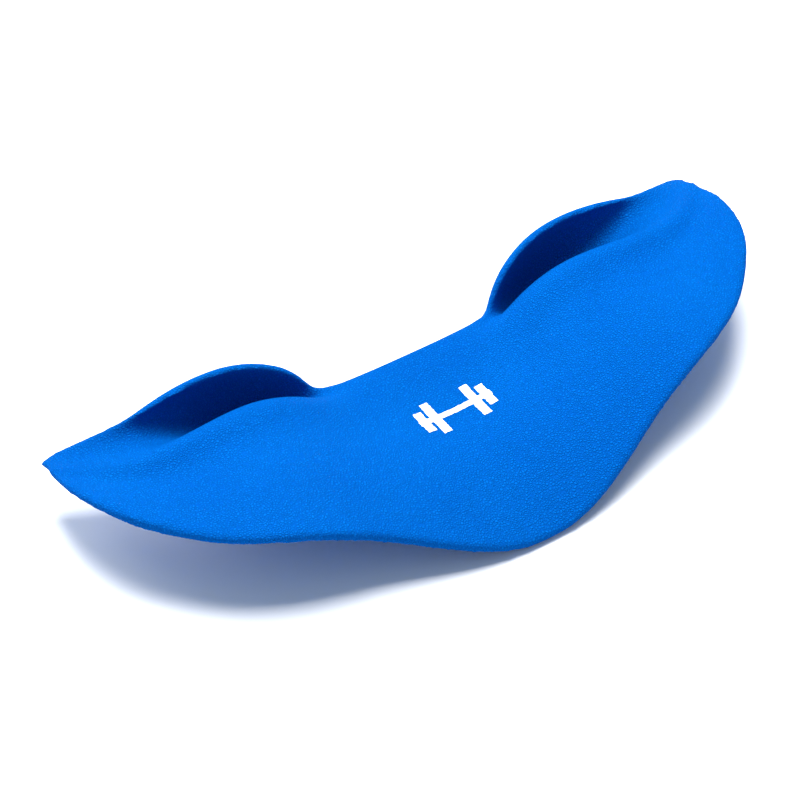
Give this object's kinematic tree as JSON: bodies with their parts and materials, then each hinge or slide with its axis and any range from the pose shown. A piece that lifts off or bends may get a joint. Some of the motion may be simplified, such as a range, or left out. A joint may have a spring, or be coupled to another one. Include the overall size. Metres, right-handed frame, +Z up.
{
  "type": "barbell squat pad",
  "caption": "Ray-shaped moulded pad that sits between a barbell and the upper back, with a neck notch between hooked lips and a pocket in front of each lip.",
  "frame": {"origin": "middle of the footprint, on the surface that the pad rests on", "axes": "+X along the bar to the right wing, +Y towards the neck notch, +Z up from the surface to the bar side"},
  "size_m": [0.332, 0.1364, 0.0425],
  "materials": {
    "blue_grained_skin": "matt fine leather grain",
    "black_core": "as moulded",
    "white_ink": "printed, matt"
  },
  "bodies": {
    "root": {"bar_side_skin": "blue_grained_skin", "body_side_skin": "blue_grained_skin", "edge_band": "blue_grained_skin", "load_plate": "black_core", "left_lip_core": "black_core", "right_lip_core": "black_core", "printed_mark": "white_ink"}
  },
  "joints": []
}
